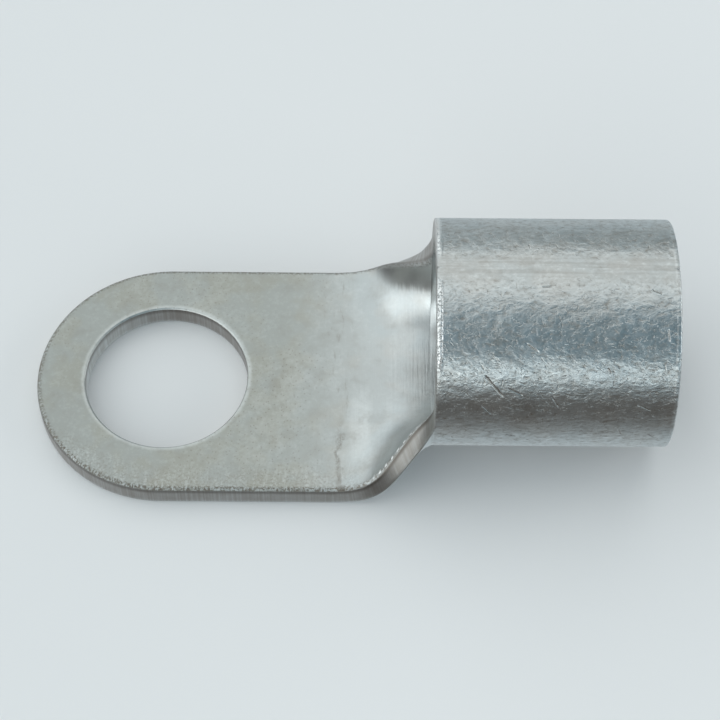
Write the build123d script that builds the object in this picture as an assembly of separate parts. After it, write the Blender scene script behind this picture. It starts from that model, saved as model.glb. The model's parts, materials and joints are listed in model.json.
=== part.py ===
"""Uninsulated ring terminal for a heavy cable, rolled and brazed from one blank of sheet.

Lengths are in millimetres. The origin is the stud hole's centre on the tongue's underside,
+X runs along the barrel to its mouth and +Z points up through the stud hole.
The tongue's underside and the barrel's lowest line both lie on Z = 0.
"""

import os
from math import cos, pi, radians, sin

from build123d import *

# Blank
sheet_thickness = 1.9
tongue_width = 20.8
stud_hole_diameter = 13.0

# Barrel
barrel_bore_diameter = 13.8
barrel_length = 18.0
hole_to_barrel = 21.2

# Neck, where the flat sheet curls up into the barrel
hole_to_curl = 12.2
curl_run = 12.6
curl_ease = 2.8
blank_fillet_radius = 2.6
flat_stations = 10
fillet_stations = 8

# Edges
die_roll_radius = 0.35
hole_chamfer = 0.3
barrel_edge_chamfer = 0.25
seam_width = 0.5
seam_depth = 0.1
wing_corner_radius = 0.4

# Sizes that follow from the ones above
tongue_half_width = tongue_width / 2
half_sheet = sheet_thickness / 2
barrel_inner_radius = barrel_bore_diameter / 2
barrel_outer_radius = barrel_inner_radius + sheet_thickness
barrel_mid_radius = barrel_inner_radius + half_sheet
fillet_start = hole_to_barrel - blank_fillet_radius
mouth_position = hole_to_barrel + barrel_length


def s_curve(share):
    """Rise from 0 at share 0 to 1 at share 1, level at both ends."""
    return share**curl_ease / (share**curl_ease + (1 - share) ** curl_ease)


def curvature(position):
    """Curl of the sheet's middle surface at a distance along X: none on the tongue, the barrel's own at its front."""
    front_share = (hole_to_barrel - hole_to_curl) / curl_run
    share = (position - hole_to_curl) / curl_run
    return s_curve(share) / s_curve(front_share) / barrel_mid_radius


def sheet_point(position, curl, across, above):
    """Point of the sheet, given its distance across the blank and its height above the sheet's middle."""
    if curl == 0:
        return Vector(position, across, half_sheet + above)
    radius = 1 / curl
    turn = across * curl
    return Vector(position, (radius - above) * sin(turn), half_sheet + radius - (radius - above) * cos(turn))


def sheet_section(position, curl, half_width):
    """Cross-section of the curled sheet, with its two upper corners rolled over by the blanking punch."""
    roll = die_roll_radius
    corner_in = roll * (1 - cos(radians(45)))

    def edge(*places):
        points = [sheet_point(position, curl, across, above) for across, above in places]
        if curl == 0 and len({above for _, above in places}) == 1:
            return Edge.make_line(points[0], points[-1])
        return Edge.make_three_point_arc(*points)

    def side(sign):
        foot = sheet_point(position, curl, sign * half_width, -half_sheet)
        shoulder = sheet_point(position, curl, sign * half_width, half_sheet - roll)
        rolled = edge(
            (sign * half_width, half_sheet - roll),
            (sign * (half_width - corner_in), half_sheet - corner_in),
            (sign * (half_width - roll), half_sheet),
        )
        return [Edge.make_line(foot, shoulder), rolled]

    underside = edge((-half_width, -half_sheet), (0, -half_sheet), (half_width, -half_sheet))
    upper_side = edge((half_width - roll, half_sheet), (0, half_sheet), (roll - half_width, half_sheet))
    return Face(Wire([underside, *side(1), upper_side, *side(-1)]))


def tongue():
    """Flat round-ended tongue, with the stud hole punched through it."""
    length = hole_to_curl
    outline = Rectangle(length, tongue_width, align=(Align.MIN, Align.CENTER)) + Circle(tongue_half_width)
    blank = extrude(outline - Circle(stud_hole_diameter / 2), sheet_thickness)
    outer_edges = blank.faces().sort_by(Axis.Z)[-1].outer_wire().edges()
    blank = fillet([edge for edge in outer_edges if edge.center().X < length - die_roll_radius], die_roll_radius)
    hole_edges = blank.faces().sort_by(Axis.Z)[-1].inner_wires()[0].edges()
    return chamfer(hole_edges, hole_chamfer)


def neck():
    """Trough between tongue and barrel, where the sheet curls up and the blank widens in a round fillet.

    It is made of narrow straight strips from section to section, and its last strip fills the barrel's front chamfer.
    """
    sections = []
    for step in range(flat_stations):
        position = hole_to_curl + (fillet_start - hole_to_curl) * step / flat_stations
        curl = curvature(position) if step else 0
        sections.append(sheet_section(position, curl, tongue_half_width))
    for step in range(fillet_stations + 1):
        turn = pi / 2 * step / fillet_stations
        position = fillet_start + blank_fillet_radius * sin(turn)
        half_width = tongue_half_width + blank_fillet_radius * (1 - cos(turn))
        sections.append(sheet_section(position, curvature(position), half_width))
    root = position + barrel_edge_chamfer
    sections.append(sheet_section(root, curvature(position), half_width))
    return loft(sections, ruled=True)


def barrel():
    """Open tube rolled from the blank's two wings, which meet in a brazed seam along the top."""
    tube = Cylinder(barrel_outer_radius, barrel_length) - Cylinder(barrel_inner_radius, barrel_length)
    tube = chamfer(tube.edges().filter_by(GeomType.CIRCLE), barrel_edge_chamfer)
    middle = hole_to_barrel + barrel_length / 2
    return Pos(middle, 0, barrel_outer_radius) * Rot(0, 90, 0) * tube


def seam():
    """Space to cut from the barrel's top: a shallow groove, and a notch between the rounded wing corners at each end."""
    top = 2 * barrel_outer_radius
    groove_shape = Polygon((0, -seam_depth), (seam_width / 2, 0), (-seam_width / 2, 0), align=None)
    groove = extrude(Plane.YZ.offset(hole_to_barrel) * groove_shape, barrel_length)
    space = Pos(0, 0, top) * groove
    notch_shape = Rectangle(wing_corner_radius, 2 * wing_corner_radius, align=(Align.MIN, Align.CENTER))
    for sign in (1, -1):
        notch_shape -= Pos(wing_corner_radius, sign * wing_corner_radius) * Circle(wing_corner_radius)
    notch = extrude(notch_shape, 2 * sheet_thickness, both=True)
    space += Pos(hole_to_barrel, 0, top) * notch
    space += Pos(mouth_position, 0, top) * Rot(0, 0, 180) * notch
    return space


def ring_terminal():
    """Whole terminal as one piece of sheet."""
    return tongue() + neck() + barrel() - seam()


os.makedirs("parts", exist_ok=True)
export_step(ring_terminal().solid(), "parts/ring_terminal.step")
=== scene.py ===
"""Ring terminal of tin-plated copper sheet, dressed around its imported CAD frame.

The terminal is one blank of sheet, so it is one mesh. Every point is first placed in the flat blank by its
distance along it, its distance across it and its height in the sheet, and then the whole blank is curled into
the neck and barrel at once. Lengths are in metres, apart from those of the finish, which are in millimetres.
"""

import json
from math import pi, radians

import bpy
import numpy as np
from mathutils import Matrix, Vector


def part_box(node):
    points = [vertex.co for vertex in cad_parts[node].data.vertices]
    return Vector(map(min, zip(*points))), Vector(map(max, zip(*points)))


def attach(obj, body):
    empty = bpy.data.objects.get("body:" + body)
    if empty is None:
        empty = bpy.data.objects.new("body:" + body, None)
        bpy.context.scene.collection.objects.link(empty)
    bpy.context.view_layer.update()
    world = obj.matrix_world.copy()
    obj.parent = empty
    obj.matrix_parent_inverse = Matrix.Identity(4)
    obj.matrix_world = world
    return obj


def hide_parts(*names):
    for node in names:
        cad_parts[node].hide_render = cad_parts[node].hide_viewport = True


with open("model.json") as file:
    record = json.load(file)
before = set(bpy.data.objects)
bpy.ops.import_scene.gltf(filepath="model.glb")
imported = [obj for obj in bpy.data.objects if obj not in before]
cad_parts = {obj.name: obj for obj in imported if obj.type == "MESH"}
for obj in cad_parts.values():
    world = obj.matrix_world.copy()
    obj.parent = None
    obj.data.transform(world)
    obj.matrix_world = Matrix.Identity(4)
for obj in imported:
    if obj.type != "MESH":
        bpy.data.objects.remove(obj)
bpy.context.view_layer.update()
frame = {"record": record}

bl_info = {
    "name": "Ring terminal",
    "version": (1, 0, 0),
    "blender": (4, 5, 0),
    "location": "3D View > Sidebar > Ring terminal",
    "description": "Builds a rolled and brazed ring terminal with its tin-plated finish, and a small studio",
    "category": "Add Mesh",
}

MM = 0.001
NODE = "ring_terminal"
CAD_LOW, CAD_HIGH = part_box(NODE)
MOUNTS = {mount["name"]: mount for mount in frame["record"]["mounts"]}
HOLE_RADIUS = MOUNTS["stud_hole"]["dims"]["r_mm"] * MM
BORE_RADIUS = MOUNTS["wire_barrel"]["dims"]["r_mm"] * MM
SHEET = MOUNTS["tongue_top"]["pos_m"][2]
MIDDLE_RADIUS = BORE_RADIUS + SHEET / 2
TONGUE_HALF = -CAD_LOW.x
MOUTH = CAD_HIGH.x
WING = pi * MIDDLE_RADIUS
EDGE_ATTRIBUTES = ("cut_face", "to_edge_mm", "level")

# Single scratches on the barrel: middle along and across the blank, heading, length and width, in millimetres
# and radians
GOUGES = (
    (25.5, -16.4, 0.84, 2.3, 0.13),
    (27.1, -16.0, 0.41, 1.3, 0.10),
    (29.3, -23.2, -0.1, 0.8, 0.08),
    (37.4, -22.9, 0.35, 0.9, 0.09),
    (38.2, -20.0, 1.45, 0.9, 0.08),
    (36.7, -14.8, 0.45, 1.3, 0.09),
)

# Light panels: lean from overhead towards the back and turn round the vertical, in degrees; distance, slide
# aside, height and width, in metres; brightness and tint
PANELS = {
    "overhead_panel": (24, 0, 0.42, 0.10, 0.50, 0.40, 0.72, (1.0, 0.99, 0.965)),
    "low_front_panel": (-74, 0, 0.42, 0.05, 0.09, 0.60, 1.55, (0.93, 1.0, 1.0)),
    "left_front_panel": (68, 118, 0.45, 0.0, 0.34, 0.66, 0.60, (0.97, 1.0, 1.0)),
    "right_panel": (-70, 90, 0.45, 0.0, 0.16, 0.60, 2.2, (1.0, 1.0, 1.0)),
}

ROOM_COLOURS = {
    "left": (1.10, 1.18, 1.20, 1),
    "left_gap": (0.62, 0.67, 0.69, 1),
    "right": (0.36, 0.42, 0.44, 1),
    "front": (0.145, 0.24, 0.30, 1),
    "left_haze": (0.46, 0.50, 0.52, 1),
    "low_right": (0.62, 0.70, 0.735, 1),
    "low_left": (0.49, 0.51, 0.52, 1),
    "low_front": (0.13, 0.115, 0.105, 1),
    "left_floor": (0.12, 0.125, 0.13, 1),
}


class TerminalSizes(bpy.types.PropertyGroup):
    """Sizes of the blank and of the way it is curled."""

    hole_to_barrel: bpy.props.FloatProperty(
        name="Hole to barrel", description="From the stud hole's centre to the barrel's front",
        default=21.2 * MM, unit="LENGTH", precision=5)
    hole_to_curl: bpy.props.FloatProperty(
        name="Hole to curl", description="From the stud hole's centre to where the sheet starts to curl",
        default=12.2 * MM, unit="LENGTH", precision=5)
    curl_run: bpy.props.FloatProperty(
        name="Curl run", description="Length over which the curl would rise from none to full",
        default=12.6 * MM, unit="LENGTH", precision=5)
    curl_ease: bpy.props.FloatProperty(
        name="Curl ease", description="How sharply the curl rises half-way along its run", default=2.8)
    edge_lean: bpy.props.FloatProperty(
        name="Edge lean", description="Share by which the neck's cut edge leans with the rising sheet",
        min=0, max=1, default=0.36)
    lean_run: bpy.props.FloatProperty(
        name="Lean run", description="Length over which the cut edge's lean dies out towards the barrel",
        default=1.4 * MM, unit="LENGTH", precision=5)
    blank_fillet: bpy.props.FloatProperty(
        name="Blank fillet", description="Radius of the blank's inner corners between tongue and wings",
        default=2.6 * MM, unit="LENGTH", precision=5)
    wing_corner: bpy.props.FloatProperty(
        name="Wing corner", description="Radius of the wings' outer corners, which leave the seam's notches",
        default=0.22 * MM, unit="LENGTH", precision=5)
    die_roll: bpy.props.FloatProperty(
        name="Die roll", description="Radius of the blank's upper edge, rolled over by the punch",
        default=0.35 * MM, unit="LENGTH", precision=5)
    hole_roll: bpy.props.FloatProperty(
        name="Hole edge", description="Radius of the stud hole's upper edge",
        default=0.2 * MM, unit="LENGTH", precision=5)
    lower_edge: bpy.props.FloatProperty(
        name="Lower edge", description="Radius of the blank's lower edge, dulled by tumbling",
        default=0.14 * MM, unit="LENGTH", precision=5)
    mouth_edge: bpy.props.FloatProperty(
        name="Mouth edge", description="Radius of both edges of the barrel's mouth",
        default=0.15 * MM, unit="LENGTH", precision=5)
    seam_depth: bpy.props.FloatProperty(
        name="Seam depth", description="Depth of the groove that the brazing leaves along the barrel",
        default=0.018 * MM, unit="LENGTH", precision=5)
    seam_width: bpy.props.FloatProperty(
        name="Seam width", description="Width of the groove that the brazing leaves along the barrel",
        default=0.5 * MM, unit="LENGTH", precision=5)
    waviness: bpy.props.FloatProperty(
        name="Waviness", description="Depth of the sheet's slow waves and handling dents",
        default=0.02 * MM, unit="LENGTH", precision=6)
    grid_step: bpy.props.FloatProperty(
        name="Grid step", description="Usual side of the mesh's faces",
        default=0.22 * MM, unit="LENGTH", precision=5)


class TerminalFinish(bpy.types.PropertyGroup):
    """Colours of the tin plate and of the cut edges."""

    tongue_tin: bpy.props.FloatVectorProperty(
        name="Tongue tin", description="Tin plate with a dull greenish film, on the tongue",
        subtype="COLOR", size=3, min=0, max=1, default=(0.345, 0.362, 0.345))
    tongue_patches: bpy.props.FloatVectorProperty(
        name="Tongue patches", description="Yellowish patches in the tongue's film",
        subtype="COLOR", size=3, min=0, max=1, default=(0.330, 0.326, 0.280))
    barrel_tin: bpy.props.FloatVectorProperty(
        name="Barrel tin", description="Cleaner tin plate, on neck and barrel",
        subtype="COLOR", size=3, min=0, max=1, default=(0.475, 0.50, 0.50))
    barrel_patches: bpy.props.FloatVectorProperty(
        name="Barrel patches", description="Warmer patches on neck and barrel",
        subtype="COLOR", size=3, min=0, max=1, default=(0.49, 0.485, 0.465))
    # Bright tin for rubbing and wear, and also for painted highlights: flecks along the upper rims, a ring round
    # the hole's rim and a patch on the neck's near side.
    rubbed_tin_and_highlight: bpy.props.FloatVectorProperty(
        name="Rubbed tin", description="Tin rubbed bright on marks and edges",
        subtype="COLOR", size=3, min=0, max=1, default=(0.68, 0.71, 0.71))
    # Near-white tin for the teeth and burrs: partly burnish, partly a painted highlight on the neck's near edge
    # and the barrel's front edge.
    burnish_and_highlight: bpy.props.FloatVectorProperty(
        name="Burnished tin", description="Tin burnished by the tools, on teeth and burrs",
        subtype="COLOR", size=3, min=0, max=1, default=(0.86, 0.87, 0.86))
    # Brownish grey for real tarnish, and also for painted shade: the dark line along the upper rims and the
    # darkening on the barrel's flanks.
    tarnish_and_shade: bpy.props.FloatVectorProperty(
        name="Tarnish", description="Brownish grey tarnish",
        subtype="COLOR", size=3, min=0, max=1, default=(0.24, 0.215, 0.185))
    # Painted shade: dark grey laid into the hollow of the neck's far wall.
    painted_far_wall_shade: bpy.props.FloatVectorProperty(
        name="Far wall film", description="Dark film in the hollow of the neck's far wall",
        subtype="COLOR", size=3, min=0, max=1, default=(0.235, 0.235, 0.228))
    cut_edge: bpy.props.FloatVectorProperty(
        name="Cut edge", description="Sheared edge, thinly plated",
        subtype="COLOR", size=3, min=0, max=1, default=(0.45, 0.44, 0.42))
    # Painted shade on the cut faces: darker near their top, in the hole and on the neck's near side.
    shaded_cut_edge: bpy.props.FloatVectorProperty(
        name="Torn edge", description="Darker parts of the sheared edge, torn and not plated",
        subtype="COLOR", size=3, min=0, max=1, default=(0.16, 0.145, 0.13))
    tongue_roughness: bpy.props.FloatProperty(
        name="Tongue roughness", description="Roughness of the tongue's dull film",
        min=0, max=1, default=0.36)
    barrel_roughness: bpy.props.FloatProperty(
        name="Barrel roughness", description="Roughness of neck and barrel away from marks",
        min=0, max=1, default=0.29)


class StudioSettings(bpy.types.PropertyGroup):
    """Camera and light of the small studio."""

    camera_focus: bpy.props.FloatVectorProperty(
        name="Camera focus", description="Point of the terminal that the camera turns about",
        subtype="TRANSLATION", size=3, default=(12.38 * MM, 0, 0))
    camera_distance: bpy.props.FloatProperty(
        name="Camera distance", description="From the camera to the level of its focus",
        default=165.0 * MM, unit="LENGTH", precision=4)
    camera_tilt: bpy.props.FloatProperty(
        name="Camera tilt", description="Angle between the camera's view and straight down",
        default=radians(32.27), unit="ROTATION")
    camera_swing: bpy.props.FloatProperty(
        name="Camera swing", description="Turn of the view about its own upright",
        default=radians(-0.245), unit="ROTATION")
    camera_roll: bpy.props.FloatProperty(
        name="Camera roll", description="Turn of the view about its own axis",
        default=radians(-0.482), unit="ROTATION")
    slide_right: bpy.props.FloatProperty(
        name="Slide right", description="How far the camera stands to the right of its focus",
        default=3.171 * MM, unit="LENGTH", precision=5)
    slide_up: bpy.props.FloatProperty(
        name="Slide up", description="How far the camera stands above its focus, as seen in the picture",
        default=2.414 * MM, unit="LENGTH", precision=5)
    focal_length: bpy.props.FloatProperty(
        name="Focal length", description="Camera focal length in millimetres, on a 36 mm sensor",
        default=101.65)
    floor_tone: bpy.props.FloatProperty(
        name="Floor tone", description="Reflectance of the pale floor", min=0, max=1, default=0.76)
    floor_reach: bpy.props.FloatProperty(
        name="Floor reach", description="From the origin to each side of the floor",
        default=1.5, unit="LENGTH")
    light_level: bpy.props.FloatProperty(
        name="Light level", description="Factor on all lights", min=0, default=1.0)


# The blank


def ring_end(sizes):
    """Distance along the blank at which the grid round the hole ends and the neck's grid starts."""
    return (HOLE_RADIUS + sizes.hole_to_curl) / 2


def side_count(sizes):
    """Number of points across the neck, from edge to edge."""
    return round(2 * (TONGUE_HALF + sizes.blank_fillet) / sizes.grid_step)


def ring_grid(sizes, hole_inset, edge_inset):
    """Grid round the hole: straight lines from its circle out to a half-circle and three straight sides."""
    step = sizes.grid_step
    half = TONGUE_HALF - edge_inset
    end = ring_end(sizes)
    side = side_count(sizes)
    flank = round(end / step)
    turn = np.linspace(0, pi, round(pi * TONGUE_HALF / step))
    forward = np.linspace(0, end, flank + 1)[1:-1]
    rim_along = np.concatenate([np.full(side, end), forward[::-1], -half * np.sin(turn), forward])
    rim_across = np.concatenate([
        np.linspace(-half, half, side), np.full(flank - 1, half),
        half * np.cos(turn), np.full(flank - 1, -half)])
    reach = np.hypot(rim_along, rim_across)
    hole = HOLE_RADIUS + hole_inset
    share = np.linspace(0, 1, round((TONGUE_HALF - HOLE_RADIUS) / step))[:, None]
    return np.stack([start + (rim - start) * share for start, rim in (
        (hole * rim_along / reach, rim_along), (hole * rim_across / reach, rim_across))], -1)


def neck_grid(sizes, edge_inset):
    """Rows across the neck, each spread evenly from edge to edge.

    The half-width is the tongue's, and then it follows the round inner corner: along = start + r sin a,
    half-width = middle - r cos a.
    """
    end = ring_end(sizes)
    corner_start = sizes.hole_to_barrel - sizes.blank_fillet
    corner_middle = TONGUE_HALF + sizes.blank_fillet
    radius = sizes.blank_fillet + edge_inset
    turn = np.linspace(0, pi / 2, round(2.2 * sizes.blank_fillet / sizes.grid_step))
    straight = np.linspace(end, corner_start, round((corner_start - end) / sizes.grid_step))[:-1]
    row_along = np.concatenate([straight, corner_start + radius * np.sin(turn)])
    row_half = np.concatenate([
        np.full(len(straight), TONGUE_HALF - edge_inset), corner_middle - radius * np.cos(turn)])
    spread = np.linspace(-1, 1, side_count(sizes))
    return np.stack(np.broadcast_arrays(row_along[:, None], row_half[:, None] * spread), -1)


def barrel_grid(sizes, edge_inset, mouth_inset):
    """Columns along the barrel, each spread evenly from its front edge to its mouth.

    Both ends dip in round the wings' corners by r - sqrt(r^2 - s^2), s being the way into the corner.
    """
    step = sizes.grid_step
    corner_middle = TONGUE_HALF + sizes.blank_fillet
    wing_count = round(1.25 * (WING - corner_middle) / step)
    wing_share = np.sin(np.linspace(0, pi / 2, wing_count))[1:]
    wing_across = corner_middle + (WING - corner_middle) * wing_share
    spread = np.linspace(-1, 1, side_count(sizes))
    column_across = np.concatenate([corner_middle * spread, wing_across, -wing_across[-2::-1]])
    into_corner = np.clip(sizes.wing_corner - (WING - np.abs(column_across)), 0, sizes.wing_corner)
    dip = sizes.wing_corner - np.sqrt(sizes.wing_corner**2 - into_corner**2)
    front = sizes.hole_to_barrel + edge_inset + dip
    share = np.linspace(0, 1, round(0.85 * (MOUTH - sizes.hole_to_barrel) / step))[:, None]
    column_along = front + (MOUTH - mouth_inset - dip - front) * share
    return np.stack(np.broadcast_arrays(column_along, column_across), -1)


def blank_grids(sizes, hole_inset, edge_inset, mouth_inset):
    """Three grids of (along, across) points that tile the blank, pulled in from its hole, edge and mouth."""
    return (
        ring_grid(sizes, hole_inset, edge_inset),
        neck_grid(sizes, edge_inset),
        barrel_grid(sizes, edge_inset, mouth_inset))


def blank_layout(ring, neck, barrel):
    """Faces of the three grids as one sheet with its shared rows joined, and the points of its three edges."""
    ring_ids = np.arange(ring.shape[0] * ring.shape[1]).reshape(ring.shape[:2])
    count = ring_ids.size
    neck_ids = np.empty(neck.shape[:2], int)
    neck_ids[0] = ring_ids[-1, : neck.shape[1]]
    neck_ids[1:] = count + np.arange(neck_ids[1:].size).reshape(-1, neck.shape[1])
    count += neck_ids[1:].size
    barrel_ids = np.empty(barrel.shape[:2], int)
    wing_columns = barrel.shape[1] - neck.shape[1]
    barrel_ids[0, : neck.shape[1]] = neck_ids[-1]
    barrel_ids[0, neck.shape[1]:] = count + np.arange(wing_columns)
    count += wing_columns
    barrel_ids[1:] = count + np.arange(barrel_ids[1:].size).reshape(-1, barrel.shape[1])
    faces = np.concatenate([
        grid_faces(ring_ids, True), grid_faces(neck_ids, False), grid_faces(barrel_ids, True)])
    outline = np.concatenate([
        ring_ids[-1, neck.shape[1] - 1:], ring_ids[-1, :1], neck_ids[1:, 0],
        barrel_ids[0, neck.shape[1]:][::-1], neck_ids[1:, -1][::-1]])
    return faces, {"hole": ring_ids[0][::-1], "outline": outline, "mouth": barrel_ids[-1]}


def grid_faces(ids, round_about):
    """Four-sided faces between rows and columns; round_about also joins the last column to the first."""
    if round_about:
        ids = np.concatenate([ids, ids[:, :1]], 1)
    return np.stack([ids[:-1, :-1], ids[1:, :-1], ids[1:, 1:], ids[:-1, 1:]], -1).reshape(-1, 4)


def sheet_points(grids):
    """The three grids as one list of (along, across) points, without the rows that they share."""
    ring, neck, barrel = grids
    wings = barrel[0, neck.shape[1]:]
    return np.concatenate([ring.reshape(-1, 2), neck[1:].reshape(-1, 2), wings, barrel[1:].reshape(-1, 2)])


def edge_profile(upper, lower):
    """Steps down a cut edge as (inset, height): a quarter round, the cut face and a quarter round below."""
    top_turn = np.linspace(0, pi / 2, 6)
    bottom_turn = np.linspace(0, pi / 2, 4)
    face = np.linspace(SHEET / 2 - upper, lower - SHEET / 2, 6)[1:-1]
    inset = np.concatenate([
        upper * (1 - np.sin(top_turn)), np.zeros(len(face)), lower * (1 - np.cos(bottom_turn))])
    height = np.concatenate([
        SHEET / 2 - upper * (1 - np.cos(top_turn)), face, lower * (1 - np.sin(bottom_turn)) - SHEET / 2])
    return inset, height


def terminal_blank(sizes):
    """Closed surface of the flat blank: its upper and lower grids, and strips down its three edges.

    It returns the points as (along, across), their heights above the sheet's middle, 1 for those on a cut
    face and 0 for the others, and the faces.
    """
    insets = {"hole": sizes.hole_roll, "outline": sizes.die_roll, "mouth": sizes.mouth_edge}
    lower_insets = {"hole": sizes.lower_edge, "outline": sizes.lower_edge, "mouth": sizes.mouth_edge}
    upper = blank_grids(sizes, *insets.values())
    faces, loops = blank_layout(*upper)
    upper = sheet_points(upper)
    lower = sheet_points(blank_grids(sizes, *lower_insets.values()))
    count = len(upper)
    flat = [upper, lower]
    above = [np.full(count, SHEET / 2), np.full(count, -SHEET / 2)]
    cut = [np.zeros(2 * count)]
    all_faces = [faces, faces[:, ::-1] + count]
    total = 2 * count
    for name, loop in loops.items():
        inset, height = edge_profile(insets[name], lower_insets[name])
        strip = np.empty((len(inset), len(loop)), int)
        strip[0] = loop
        strip[-1] = loop + count
        for step in range(1, len(inset) - 1):
            pulled = {other: inset[step] if other == name else insets[other] for other in insets}
            flat.append(sheet_points(blank_grids(sizes, *pulled.values()))[loop])
            above.append(np.full(len(loop), height[step]))
            in_face = SHEET / 2 - insets[name] * 0.6 > height[step] > 0.6 * lower_insets[name] - SHEET / 2
            cut.append(np.full(len(loop), float(in_face)))
            strip[step] = total + np.arange(len(loop))
            total += len(loop)
        all_faces.append(grid_faces(strip, True))
    return np.concatenate(flat), np.concatenate(above), np.concatenate(cut), np.concatenate(all_faces)


def curl_blank(sizes, along, across, above):
    """Curls the flat blank: each cross-section becomes an arc of radius 1 / curvature that touches the floor.

    The curvature is nothing on the tongue and the barrel's own behind the barrel's front. In between it rises
    by an S curve of the share s along the run: s^e / (s^e + (1 - s)^e), scaled to be 1 at the front. A point
    stands off the middle surface along a normal between the section's own and the rising surface's true one.
    """
    least_curl = 1e-6

    def rise(share):
        return share**sizes.curl_ease / (share**sizes.curl_ease + (1 - share) ** sizes.curl_ease)

    def curl_at(place):
        into_run = np.clip(place, sizes.hole_to_curl, sizes.hole_to_barrel) - sizes.hole_to_curl
        front = rise((sizes.hole_to_barrel - sizes.hole_to_curl) / sizes.curl_run)
        return np.maximum(rise(into_run / sizes.curl_run) / front / MIDDLE_RADIUS, least_curl)

    def middle(place):
        curl = curl_at(place)
        return np.stack([np.sin(across * curl) / curl, 2 / curl * np.sin(across * curl / 2) ** 2])

    turn = across * curl_at(along)
    small = 0.001 * MM
    side_slope, up_slope = (middle(along + small) - middle(along - small)) / (2 * small)
    slope = side_slope * np.sin(turn) - up_slope * np.cos(turn)
    to_front = np.clip((sizes.hole_to_barrel - along) / sizes.lean_run, 0, 1)
    lean = sizes.edge_lean * to_front * to_front * (3 - 2 * to_front)
    steep = np.sqrt(1 + slope * slope)
    upright = 1 - lean + lean / steep
    side, up = middle(along)
    return np.stack([
        along + above * lean * slope / steep,
        side - above * upright * np.sin(turn),
        SHEET / 2 + up + above * upright * np.cos(turn)], -1)


# Relief and mesh


def lattice_noise(points, size, seed):
    """Smooth noise from -1 to 1: random values at cube corners, blended across each cube by 3s^2 - 2s^3."""
    table = np.random.default_rng(seed).uniform(-1, 1, 4096)
    corner_key = np.array([73856093, 19349663, 83492791])
    scaled = points / size
    cell = np.floor(scaled).astype(int)
    blend = scaled - cell
    blend = blend * blend * (3 - 2 * blend)
    total = np.zeros(len(points))
    for corner in np.ndindex(2, 2, 2):
        weight = np.prod(np.where(corner, blend, 1 - blend), -1)
        total += weight * table[(cell + corner) @ corner_key % len(table)]
    return total


def to_blank_edge(sizes, along, across):
    """Distance of each flat point from the outline: the tongue's end and flanks, inner corners and wings."""
    corner_start = sizes.hole_to_barrel - sizes.blank_fillet
    corner_middle = TONGUE_HALF + sizes.blank_fillet
    round_end = TONGUE_HALF - np.hypot(along, across)
    flank = TONGUE_HALF - np.abs(across)
    rounded = np.hypot(along - corner_start, corner_middle - np.abs(across)) - sizes.blank_fillet
    front = np.where(np.abs(across) > corner_middle, along - sizes.hole_to_barrel, sizes.curl_run)
    ahead = np.where(along < 0, round_end, np.where(along < corner_start, flank, rounded))
    return np.clip(np.where(along > sizes.hole_to_barrel, front, ahead), 0, None)


def relief(sizes, along, across, above):
    """Height to add along the sheet's normal: slow waves of two sizes, and the seam's groove by e^-(2d/w)^2.

    It only lowers a surface, so the sheet stays inside its solid.
    """
    flat = np.stack([along, across, 3 * above], -1)
    waves = 0.6 * lattice_noise(flat, 4.1 * MM, 3) + 0.4 * lattice_noise(flat, 1.7 * MM, 4)
    lower = sizes.waviness * (0.5 + 0.5 * waves)
    to_seam = WING - np.abs(across)
    lower = lower + sizes.seam_depth * np.exp(-((to_seam / sizes.seam_width * 2) ** 2))
    return -np.sign(above) * lower


def make_mesh(name, points, faces, material):
    """Mesh object from arrays of points and four-sided faces, shaded smooth, wholly placed by its points."""
    mesh = bpy.data.meshes.new(name)
    mesh.vertices.add(len(points))
    mesh.vertices.foreach_set("co", points.astype(np.float32).ravel())
    mesh.loops.add(faces.size)
    mesh.loops.foreach_set("vertex_index", faces.astype(np.int32).ravel())
    mesh.polygons.add(len(faces))
    mesh.polygons.foreach_set("loop_start", np.arange(0, faces.size, 4, dtype=np.int32))
    mesh.update(calc_edges=True)
    mesh.validate()
    mesh.polygons.foreach_set("use_smooth", np.ones(len(mesh.polygons), bool))
    mesh.materials.append(material)
    piece = bpy.data.objects.new(name, mesh)
    bpy.context.scene.collection.objects.link(piece)
    return piece


def store_blank_places(mesh, sizes, along, across, above, cut, faces):
    """Keeps each point's place in the flat blank on the mesh, as three attributes and a UV map in metres.

    A face that spans the seam gets the same side of the blank at all its corners.
    """
    to_edge = to_blank_edge(sizes, along, across) / MM
    for name, values in zip(EDGE_ATTRIBUTES, (cut, to_edge, above / (SHEET / 2))):
        attribute = mesh.attributes.new(name, "FLOAT", "POINT")
        attribute.data.foreach_set("value", values.astype(np.float32))
    around = across[faces]
    spans_seam = np.ptp(around, axis=1) > pi * BORE_RADIUS
    around[spans_seam[:, None] & (around > 0)] -= 2 * WING
    uv = np.stack([along[faces], around], -1).astype(np.float32)
    mesh.uv_layers.new(name="blank").data.foreach_set("uv", uv.ravel())


# Shading


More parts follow.
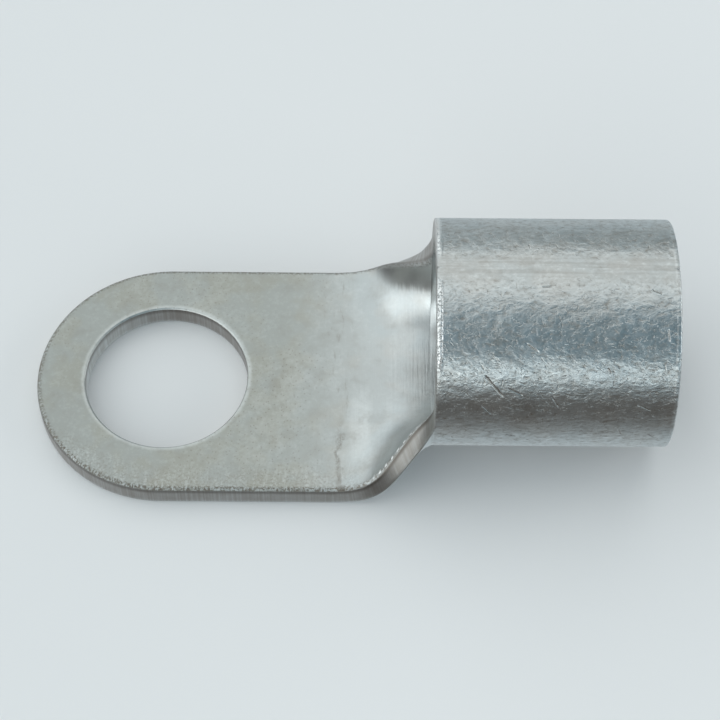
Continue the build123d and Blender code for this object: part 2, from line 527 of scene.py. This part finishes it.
class Shade:
    """A shader socket that adds Math nodes when it is used in an expression; node() adds any other node."""

    def __init__(self, tree, socket=None):
        self.tree = tree
        self.socket = socket

    def node(self, kind, settings=None, sockets=None, output=0):
        """Adds a node of one kind with its settings, fills or links its sockets and returns one output."""
        made = self.tree.nodes.new(kind)
        for setting, value in (settings or {}).items():
            setattr(made, setting, value)
        for key, value in (sockets or {}).items():
            if isinstance(value, Shade):
                self.tree.links.new(value.socket, made.inputs[key])
            else:
                made.inputs[key].default_value = value
        return Shade(self.tree, made.outputs[output])

    def math(self, operation, *values, clamp=False):
        """One Math node on the given values."""
        settings = {"operation": operation, "use_clamp": clamp}
        return self.node("ShaderNodeMath", settings, dict(enumerate(values)))

    def __add__(self, other):
        return self.math("ADD", self, other)

    __radd__ = __add__

    def __mul__(self, other):
        return self.math("MULTIPLY", self, other)

    __rmul__ = __mul__

    def __sub__(self, other):
        return self.math("SUBTRACT", self, other)

    def __rsub__(self, other):
        return self.math("SUBTRACT", other, self)

    def __truediv__(self, other):
        return self.math("DIVIDE", self, other)

    def absolute(self):
        return self.math("ABSOLUTE", self)

    def sine(self):
        return self.math("SINE", self)

    def cosine(self):
        return self.math("COSINE", self)

    def root(self):
        return self.math("SQRT", self)

    def saturate(self):
        """This value kept between 0 and 1."""
        return self.math("ADD", self, 0.0, clamp=True)

    def between(self, first, second):
        """Mix of two numbers, with this value as the share of the second."""
        return first + self * (second - first)

    def blend(self, first, second):
        """Mix of two colours, with this value as the share of the second."""
        sockets = {0: self, 6: first, 7: second}
        return self.node("ShaderNodeMix", {"data_type": "RGBA"}, sockets, output=2)

    def ramp(self, low, high, smooth=True):
        """0 below low, 1 above high and a rise between; the other way round if low is above high."""
        if low > high:
            return 1 - self.ramp(high, low, smooth)
        kind = "SMOOTHSTEP" if smooth else "LINEAR"
        return self.node("ShaderNodeMapRange", {"interpolation_type": kind}, {0: self, 1: low, 2: high})

    def near(self, middle, beyond, within):
        """1 where this value is within one distance of a middle value, 0 beyond another."""
        return (self - middle).absolute().ramp(beyond, within)

    def vector(self, operation, other, key=1):
        """This vector with another, or with a scale if key is "Scale", through one Vector Math node."""
        return self.node("ShaderNodeVectorMath", {"operation": operation}, {0: self, key: other})

    def split(self, axis):
        """One of this vector's parts: 0, 1 or 2."""
        return self.node("ShaderNodeSeparateXYZ", {}, {0: self}, output=axis)

    def stretched(self, factors, turn=0.0):
        """This vector turned about Z and multiplied axis by axis, by a Mapping node."""
        sockets = {"Vector": self, "Rotation": (0, 0, turn), "Scale": factors}
        return self.node("ShaderNodeMapping", {}, sockets)

    def noise(self, scale, detail=2.0, roughness=0.5, distortion=0.0):
        """Noise from about 0 to 1 at this vector."""
        return self.node("ShaderNodeTexNoise", {}, {
            "Vector": self, "Scale": scale, "Detail": detail, "Roughness": roughness,
            "Distortion": distortion})


def scratches(sheet, cell, length, width, seed, heading=0.0, spread=2 * pi, keep=0.5):
    """Mask of thin straight scratches, one at most in each cell of a Voronoi pattern of that cell size.

    In each cell the vector from its point is turned by the cell's own random heading, and the scratch is
    where the turned vector's second part is within the width and its first part within the length.
    """
    scaled = sheet.vector("SCALE", 1 / cell, key="Scale").vector("ADD", (seed * 7.3, seed * 3.1, seed * 1.7))
    cells = {"Vector": scaled, "Scale": 1.0, "Randomness": 1.0}
    settings = {"voronoi_dimensions": "2D", "feature": "F1"}
    random = sheet.node("ShaderNodeTexVoronoi", settings, cells, output=1)
    centre = sheet.node("ShaderNodeTexVoronoi", settings, cells, output=2)
    offset = scaled.vector("SUBTRACT", centre)
    angle = (random.split(0) - 0.5) * spread + heading
    east, north = offset.split(0), offset.split(1)
    cosine, sine = angle.cosine(), angle.sine()
    lengthways = (east * cosine + north * sine).absolute()
    sideways = (north * cosine - east * sine).absolute()
    own_length = (random.split(1) * 0.7 + 0.3) * (length / cell / 2)
    inside = (lengthways / own_length).ramp(1.0, 0.4)
    thin = sideways.ramp(width / cell, 0.0)
    return inside * thin * random.split(2).ramp(1 - keep, 1 - keep + 0.02)


def gouge(sheet, along, across, heading, length, width):
    """Mask of one straight scratch, given its middle in the blank, its heading, its length and its width."""
    offset = sheet.vector("SUBTRACT", (along, across, 0)).stretched((1, 1, 1), -heading)
    lengthways, sideways = offset.split(0).absolute(), offset.split(1).absolute()
    return lengthways.ramp(length / 2, length / 3) * sideways.ramp(width, width * 0.2)


class SheetMap:
    """Masks and noises of the finish, in millimetres along and across the flat blank.

    Across is negative on the side that faces the front. Level runs from -1 on the sheet's lower side, which
    is the barrel's outside, to 1 on its upper side.
    """

    def __init__(self, shade, sizes):
        self.front = sizes.hole_to_barrel / MM
        self.mouth = MOUTH / MM
        self.shade = shade
        self.place = shade.node("ShaderNodeTexCoord", output=3)
        self.sheet = shade.node("ShaderNodeUVMap", {"uv_map": "blank"}).vector("SCALE", 1 / MM, key="Scale")
        self.cut, self.to_edge, self.level = (
            shade.node("ShaderNodeAttribute", {"attribute_name": name}, output=2) for name in EDGE_ATTRIBUTES)
        self.along, self.across = self.sheet.split(0), self.sheet.split(1)
        self.add_noises()
        self.add_places()
        self.add_tumbling_marks()
        self.add_tool_marks()

    def add_noises(self):
        """Noises of the plate in space, and of the rolled, ground and tumbled sheet along the blank."""
        place, sheet = self.place, self.sheet
        self.clouds = place.noise(160, 3, 0.55)
        self.mottle = place.noise(620, 4, 0.62)
        self.grain = place.noise(3000, 3, 0.7)
        self.tint = place.noise(330, 2.5, 0.55)
        self.rolled = sheet.stretched((0.35, 7.0, 1)).noise(1.0, 3, 0.6)
        self.ground = sheet.stretched((0.10, 3.6, 1)).noise(1.0, 3, 0.65)
        self.combed = sheet.stretched((5.0, 0.13, 1)).noise(1.0, 3, 0.7)
        self.banded = sheet.stretched((0.62, 0.03, 1)).noise(1.0, 1.5, 0.5)
        self.streaked = sheet.stretched((3.0, 0.6, 1)).noise(1.0, 3, 0.65)
        self.ragged = sheet.noise(5.0, 3, 0.7)
        self.pebbled = sheet.stretched((1.7, 2.6, 1), 0.45).noise(1.0, 3.5, 0.6, 0.5)
        self.dimpled = sheet.stretched((2.4, 4.2, 1), 0.5).noise(1.0, 2.5, 0.55, 0.5)
        self.rippled = sheet.stretched((0.55, 1.0, 1), 0.5).noise(1.0, 1.5, 0.5, 0.5)

    def add_places(self):
        """Masks of the terminal's parts: neck, barrel, seam, flanks, rims and mouth, and where a highlight is
        painted round the hole's upper rim.
        """
        along, level, front, mouth = self.along, self.level, self.front, self.mouth
        self.aside = self.across.absolute()
        self.inside = level.ramp(0.2, 0.8)
        self.on_neck = along.ramp(8.0, 19.0)
        self.on_barrel = along.ramp(front - 0.2, front - 0.05) * level.ramp(-0.6, -0.9)
        self.off_barrel = 1 - self.on_barrel
        self.curled = along.ramp(9.5, 13.0) * self.off_barrel
        self.seam_band = (WING / MM - self.aside).absolute().ramp(1.5, 0.4) * self.on_barrel
        self.flank = self.aside.near(14.1, 2.8, 0.4) * self.on_barrel
        self.rim = self.to_edge.ramp(0.50, 0.22) * (1 - self.cut) * self.inside
        self.at_mouth = along.ramp(mouth - 0.45, mouth - 0.25) * level.ramp(-0.3, -0.6)
        self.at_hole = (along * along + self.across * self.across).root().ramp(7.0, 6.7)
        # Painted highlight: a brighter ring round the hole's upper rim.
        self.hole_rim_highlight = self.at_hole * self.inside

    def add_tumbling_marks(self):
        """Masks of what tumbling and handling leave: pits, nicks, deep scratches, and specks on the tongue."""
        sheet, on_barrel, seam_band = self.sheet, self.on_barrel, self.seam_band
        curls = sheet.stretched((1.2, 2.2, 1), 0.5).noise(1.6, 1.5, 0.5, 0.8)
        curl_keep = sheet.stretched((1.0, 1.6, 1), 0.5).noise(1.8, 2.0, 0.6)
        tumbled = curls.near(0.5, 0.050, 0.0) * curl_keep.ramp(0.48, 0.62)
        nicks = scratches(sheet, 1.1, 0.7, 0.07, 1, heading=0.6, spread=2.2, keep=0.5)
        off_seam = on_barrel * (1 - seam_band * 0.8)
        self.pits = (self.dimpled.ramp(0.44, 0.34) + self.pebbled.ramp(0.48, 0.34)) * 0.8 * off_seam
        self.marks = (tumbled * 0.9 + nicks) * off_seam
        deep = scratches(sheet, 4.2, 1.8, 0.10, 2, heading=0.75, spread=1.0, keep=0.3) * (1 - seam_band)
        for middle_along, middle_across, heading, length, width in GOUGES:
            deep = deep + gouge(sheet, middle_along, middle_across, heading, length, width)
        self.deep = deep.saturate() * on_barrel
        cells = self.shade.node(
            "ShaderNodeTexVoronoi", {"voronoi_dimensions": "2D"}, {"Vector": sheet, "Scale": 1.7})
        self.specks = cells.ramp(0.15, 0.02) * self.clouds.ramp(0.46, 0.60) * self.along.ramp(14.5, 12.0)

    def add_tool_marks(self):
        """Masks of tool marks (teeth on the near edge, burrs, the crease, worn tin), and of painted highlight
        and painted shade on the neck.
        """
        along, across, to_edge, inside, front = self.along, self.across, self.to_edge, self.inside, self.front
        tooth_pitch = 0.47
        teeth = (along * (2 * pi / tooth_pitch) + self.mottle * 3).sine().ramp(0.1, 0.8)
        teeth = teeth * to_edge.ramp(0.60, 0.42) * to_edge.ramp(0.10, 0.20) * across.ramp(-8.0, -9.0)
        teeth = teeth * along.ramp(front - 4.6, front - 4.0) * along.ramp(front - 0.4, front - 0.9)
        self.teeth = teeth * inside * self.ragged.ramp(0.30, 0.42)
        near_front = self.on_barrel * along.ramp(front + 0.55, front + 0.25)
        self.burr = near_front * self.ragged.ramp(0.34, 0.50) * self.aside.near(20.6, 3.6, 2.2)
        uneven = (self.mottle - 0.5) * 2.0
        self.crease = (along + uneven).near(13.9, 0.35, 0.05) * across.ramp(-3.0, -7.0) * inside
        # Painted highlight on the neck's near side, brighter in streaks.
        self.neck_highlight = along.near(15.7, 1.3, 0.3) * across.near(-5.0, 4.5, 1.5) * inside
        # Painted shade in the hollow of the neck's far wall, with a ragged edge.
        far_wall_shade = (across + (self.combed - 0.5) * 1.6).ramp(7.9, 8.8)
        far_wall_shade = far_wall_shade * (across * 0.8 + along).ramp(24.2, 26.0) * along.ramp(front + 0.2, front)
        far_wall_shade = far_wall_shade * (1 - across.ramp(9.6, 11.5) * 0.5)
        self.far_wall_shade = far_wall_shade * inside
        near_side = across.ramp(-4.0, -7.0) * along.ramp(17.0, 14.0)
        self.worn = to_edge.ramp(3.0, 0.4) * near_side * inside * (1 - self.cut)


def plate_rubbing_and_highlights(spot):
    """Share of rubbed bright tin and painted highlight: mottled all over, more on bumps and the mouth, with
    painted highlights in flecks along the upper rims, round the hole's rim and on the neck's near side.
    """
    flecks = spot.ragged.ramp(0.40, 0.60)
    rubbed_and_highlit = (spot.mottle - 0.5) * (spot.curled * 0.36 + 0.28) + (spot.grain - 0.5) * 0.5
    rubbed_and_highlit = rubbed_and_highlit + spot.clouds.ramp(0.5, 0.75) * 0.10
    bumps = spot.dimpled.ramp(0.54, 0.66) * 0.22 + spot.pebbled.ramp(0.50, 0.66) * 0.30
    rubbed_and_highlit = rubbed_and_highlit + (bumps + (spot.rippled - 0.5) * 0.30) * spot.on_barrel
    # The bright flecks along the upper rims and the ring round the hole's rim are painted highlights.
    rubbed_and_highlit = rubbed_and_highlit + spot.rim * flecks * 0.25 + spot.at_mouth * flecks * 0.6 + spot.hole_rim_highlight * 0.35
    bands = spot.banded - 0.5 + (spot.combed - 0.5) * 0.9 * spot.off_barrel
    # The patch on the neck's near side is a painted highlight.
    rubbed_and_highlit = rubbed_and_highlit + bands * spot.on_neck * 0.3 + spot.neck_highlight * (0.15 + spot.streaked * 0.4)
    return rubbed_and_highlit + spot.worn * ((spot.ragged - 0.5) * 0.9 + (spot.streaked - 0.5) * 1.1)


def plate_stain_and_shade(spot):
    """Share of tarnish and painted shade: tarnish thin all over, more in pits, scratches and the seam; partly
    tarnish and partly painted shade on the barrel's flanks; a painted shadow line along the upper rims.
    """
    flecks = spot.ragged.ramp(0.40, 0.60)
    stain_and_shade = spot.mottle.ramp(0.50, 0.25) * 0.22 + spot.clouds.ramp(0.45, 0.25) * 0.12
    stain_and_shade = stain_and_shade + spot.specks * 0.45 + spot.marks * 0.38 + spot.deep * 0.4 + spot.pits * 0.38
    stain_and_shade = stain_and_shade + spot.seam_band * (0.08 + spot.ground.ramp(0.40, 0.62) * 0.22)
    # Darkening on the barrel's flanks: partly tarnish, partly painted shade standing in for a dark reflection.
    stain_and_shade = stain_and_shade + spot.flank * spot.pebbled.ramp(0.40, 0.65) * 0.5
    before_curl = spot.along.ramp(11.5, 13.5) * spot.along.ramp(15.5, 14.0) * spot.inside
    stain_and_shade = stain_and_shade + spot.streaked.ramp(0.55, 0.75) * before_curl * 0.4
    # The dark line along the upper rims, between the bright flecks, is a painted shadow along the rolled edge.
    stain_and_shade = stain_and_shade + spot.crease * spot.ragged.ramp(0.35, 0.6) * 0.5 + spot.rim * (1 - flecks) * 0.65
    return stain_and_shade + spot.worn * spot.ragged.ramp(0.52, 0.35) * 0.35


def cut_face_colour(spot, finish):
    """Sheared face: ragged bright patches, lighter towards its lower edge, with painted shade near its top, in
    the hole and on the near side of the neck.
    """
    bright = spot.ragged.ramp(0.35, 0.75) * 0.6 + (spot.mottle - 0.5) * 1.2
    bright = bright + spot.level.ramp(-0.55, -0.9) * 0.3
    colour = bright.saturate().blend((*finish.cut_edge, 1), (*finish.rubbed_tin_and_highlight, 1))
    near_neck = spot.along.ramp(15.0, 17.5) * spot.along.ramp(22.0, 21.0) * spot.across.ramp(3.0, -3.0)
    # Painted shade: darker near the top of the cut face, in the hole and on the neck's near side.
    cut_shade = spot.level.ramp(0.25, 0.7) * 0.45 + near_neck * 0.6 + spot.at_hole * 0.15
    return cut_shade.saturate().blend(colour, (*finish.shaded_cut_edge, 1))


def plate_colour(spot, finish, stain_and_shade):
    """Tin with soft patches of tint, rubbed and stained, with painted highlight and painted shade mixed into
    both, then painted shade in the far wall's hollow, the cut faces, and the tool marks, burnished and
    brightened by painted highlight.
    """
    tin = spot.on_neck.blend((*finish.tongue_tin, 1), (*finish.barrel_tin, 1))
    patches = spot.on_neck.blend((*finish.tongue_patches, 1), (*finish.barrel_patches, 1))
    tin = (spot.tint.ramp(0.42, 0.62) * 0.5).blend(tin, patches)
    colour = plate_rubbing_and_highlights(spot).saturate().blend(tin, (*finish.rubbed_tin_and_highlight, 1))
    colour = stain_and_shade.saturate().blend(colour, (*finish.tarnish_and_shade, 1))
    # Painted shade in the hollow of the neck's far wall.
    colour = (spot.far_wall_shade * 0.8).blend(colour, (*finish.painted_far_wall_shade, 1))
    colour = spot.cut.blend(colour, cut_face_colour(spot, finish))
    # Teeth and burrs: burnished tin with a painted highlight.
    return (spot.teeth + spot.burr * 0.8).saturate().blend(colour, (*finish.burnish_and_highlight, 1))


def plate_relief(spot):
    """Fine relief in millimetres: grain, combing, dents, ground seam, teeth, burrs and scratches.

    Just inside the barrel's front the neck's flare goes on for a short run, as s - s^2 / 2 times the square
    of the distance across.
    """
    along, across, on_barrel, ragged = spot.along, spot.across, spot.on_barrel, spot.ragged
    flare_run, flare_height = 0.9, 0.0122
    flare = ((along - spot.front) * (1 / flare_run)).saturate()
    flare = (flare - flare * flare * 0.5) * across * across * flare_height * spot.inside
    bumps = spot.grain * 0.005 + spot.rolled * 0.002 + spot.mottle * (spot.curled * 0.008 + 0.003)
    bumps = bumps + spot.combed * (0.0014 + along.ramp(12.0, 17.5) * spot.off_barrel * 0.011)
    dents = spot.pebbled * 0.032 + spot.dimpled * 0.017 + spot.rippled * 0.062
    bumps = bumps + on_barrel * (1 - spot.seam_band * 0.75) * dents
    bumps = bumps + spot.ground * spot.seam_band * 0.011 + spot.teeth * 0.05 + spot.rim * ragged * 0.05
    bumps = bumps + spot.burr * (along - spot.front + 0.2) * 0.22
    bumps = bumps + spot.at_mouth * ragged * 0.03 + spot.crease * ragged * 0.04 + flare
    return bumps - spot.marks * 0.012 - spot.deep * 0.05 - spot.specks * 0.008 + spot.cut * ragged * 0.025


def tin_plate(sizes, finish):
    """Tin plate over copper: a dull film on the tongue, cleaner and more marked on neck and barrel."""
    material = bpy.data.materials.new("tin_plate")
    material.use_nodes = True
    tree = material.node_tree
    tree.nodes.clear()
    shade = Shade(tree)
    spot = SheetMap(shade, sizes)
    stain_and_shade = plate_stain_and_shade(spot)
    rough = spot.on_neck.between(finish.tongue_roughness, finish.barrel_roughness)
    rough = rough + (spot.mottle - 0.5) * 0.14 + stain_and_shade * 0.15 + spot.cut * 0.12 + spot.rim * 0.25
    bump = {"Strength": 1.0, "Distance": MM, "Height": plate_relief(spot)}
    surface = shade.node("ShaderNodeBsdfPrincipled", {}, {
        "Base Color": plate_colour(spot, finish, stain_and_shade), "Metallic": 1.0, "Roughness": rough,
        "Normal": shade.node("ShaderNodeBump", {}, bump)})
    output = tree.nodes.new("ShaderNodeOutputMaterial")
    tree.links.new(surface.socket, output.inputs["Surface"])
    return material


def pale_floor(tone):
    """Matt material of one grey tone, for the floor."""
    material = bpy.data.materials.new("pale_floor")
    material.use_nodes = True
    surface = material.node_tree.nodes["Principled BSDF"]
    surface.inputs["Base Color"].default_value = (tone, tone, tone, 1)
    surface.inputs["Roughness"].default_value = 0.9
    surface.inputs["Specular IOR Level"].default_value = 0.2
    return material


def room_colour(outward):
    """Colour of the room in each outward direction, by its parts to the side (+X), back (+Y) and up (+Z).

    The upper half is bright on the left, with a dimmer gap towards the front, and dark and bluish at the
    front right. The lower half is paler at the back and brown at the front.
    """
    side, back, up = (outward.split(axis) for axis in range(3))
    room = ROOM_COLOURS
    left = (side + back.ramp(-0.25, 0.0) * back.ramp(0.86, 0.72) * 0.18).ramp(0.06, -0.12)
    gap = (back + side * 0.46).ramp(-0.53, -0.64) * up.ramp(0.40, 0.6)
    left_room = gap.blend(room["left"], room["left_gap"])
    front_room = back.ramp(0.1, -0.35).blend(room["right"], room["front"])
    high = left.blend(front_room, left_room)
    haze = up.ramp(0.42, 0.0) * back.ramp(0.3, 0.7) * left * 0.55
    high = haze.blend(high, room["left_haze"])
    behind = left.blend(room["low_right"], room["low_left"])
    low = back.ramp(-0.90, -0.25, smooth=False).blend(room["low_front"], behind)
    left_floor = side.ramp(-0.35, -0.8) * up.ramp(-0.5, -0.32) * back.ramp(0.6, 0.1) * 0.9
    low = left_floor.blend(low, room["left_floor"])
    return up.ramp(-0.09, 0.02).blend(low, high)


# Operators


class BuildTerminal(bpy.types.Operator):
    """Build the terminal's sheet, curl it and give it its tin-plated finish"""

    bl_idname = "ring_terminal.build_terminal"
    bl_label = "Terminal"

    def execute(self, context):
        sizes = context.scene.terminal_sizes
        flat, above, cut, faces = terminal_blank(sizes)
        along, across = flat.T
        raised = above + relief(sizes, along, across, above)
        points = curl_blank(sizes, along, across, raised)
        material = tin_plate(sizes, context.scene.terminal_finish)
        piece = make_mesh("terminal_sheet", points, faces, material)
        store_blank_places(piece.data, sizes, along, across, above, cut, faces)
        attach(piece, "root")
        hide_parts(NODE)
        return {"FINISHED"}


class BuildStudio(bpy.types.Operator):
    """Lay the pale floor, set the soft lights round the terminal and place the camera"""

    bl_idname = "ring_terminal.build_studio"
    bl_label = "Studio"

    def execute(self, context):
        studio = context.scene.studio_settings
        self.lay_floor(context, studio)
        self.hang_panels(context, studio)
        self.light_room(context, studio)
        self.place_camera(context, studio)
        context.scene.view_settings.view_transform = "Standard"
        return {"FINISHED"}

    def lay_floor(self, context, studio):
        """Pale floor just under the terminal, wide enough to fill the view."""
        reach = studio.floor_reach
        level = CAD_LOW.z - 0.01 * MM
        sides = ((-reach, -reach), (reach, -reach), (reach, reach), (-reach, reach))
        corners = [(*side, level) for side in sides]
        mesh = bpy.data.meshes.new("floor")
        mesh.from_pydata(corners, [], [(0, 1, 2, 3)])
        mesh.materials.append(pale_floor(studio.floor_tone))
        floor = bpy.data.objects.new("floor", mesh)
        context.scene.collection.objects.link(floor)
        floor.visible_glossy = False

    def hang_panels(self, context, studio):
        """Soft panels round the terminal, each aimed at it, with power from its brightness and area."""
        middle = (CAD_LOW + CAD_HIGH) / 2
        for name, (lean, turn, distance, aside, height, width, brightness, tint) in PANELS.items():
            light = bpy.data.lights.new(name, "AREA")
            light.shape = "RECTANGLE"
            light.size = width
            light.size_y = height
            light.color = tint
            light.energy = studio.light_level * brightness * pi * width * height
            lamp = bpy.data.objects.new(name, light)
            heading = Matrix.Rotation(radians(turn), 4, "Z") @ Matrix.Rotation(radians(-lean), 4, "X")
            lamp.matrix_world = (
                Matrix.Translation(middle) @ heading @ Matrix.Translation((aside, 0, distance)))
            context.scene.collection.objects.link(lamp)

    def light_room(self, context, studio):
        """World light that the metal mirrors where no panel stands."""
        world = bpy.data.worlds.new("pale_room")
        world.use_nodes = True
        tree = world.node_tree
        room = room_colour(Shade(tree).node("ShaderNodeTexCoord", output=0))
        background = tree.nodes["Background"]
        tree.links.new(room.socket, background.inputs["Color"])
        background.inputs["Strength"].default_value = studio.light_level
        context.scene.world = world

    def place_camera(self, context, studio):
        """Camera tilted back from straight down and very slightly turned, with the terminal in the middle."""
        turned = (
            Matrix.Rotation(studio.camera_roll, 4, "Z") @ Matrix.Rotation(studio.camera_swing, 4, "Y")
            @ Matrix.Rotation(-studio.camera_tilt, 4, "X"))
        camera = bpy.data.cameras.new("camera")
        camera.sensor_width = 36
        camera.lens = studio.focal_length
        camera.clip_start = 0.01
        eye = bpy.data.objects.new("camera", camera)
        stand = Matrix.Translation((studio.slide_right, studio.slide_up, studio.camera_distance))
        eye.matrix_world = Matrix.Translation(Vector(studio.camera_focus)) @ turned.inverted() @ stand
        context.scene.collection.objects.link(eye)
        context.scene.camera = eye


class TerminalPanel(bpy.types.Panel):
    """Sidebar panel that lists the steps"""

    bl_idname = "VIEW3D_PT_ring_terminal"
    bl_label = "Ring terminal"
    bl_space_type = "VIEW_3D"
    bl_region_type = "UI"
    bl_category = "Ring terminal"

    def draw(self, context):
        for operator in (BuildTerminal, BuildStudio):
            self.layout.operator(operator.bl_idname)


CLASSES = (TerminalSizes, TerminalFinish, StudioSettings, BuildTerminal, BuildStudio, TerminalPanel)
SETTINGS = {
    "terminal_sizes": TerminalSizes,
    "terminal_finish": TerminalFinish,
    "studio_settings": StudioSettings,
}


def register():
    for item in CLASSES:
        bpy.utils.register_class(item)
    for name, group in SETTINGS.items():
        setattr(bpy.types.Scene, name, bpy.props.PointerProperty(type=group))


def unregister():
    for name in SETTINGS:
        delattr(bpy.types.Scene, name)
    for item in reversed(CLASSES):
        bpy.utils.unregister_class(item)


def main():
    register()
    bpy.ops.ring_terminal.build_terminal()
    bpy.ops.ring_terminal.build_studio()


if __name__ == "__main__":
    main()
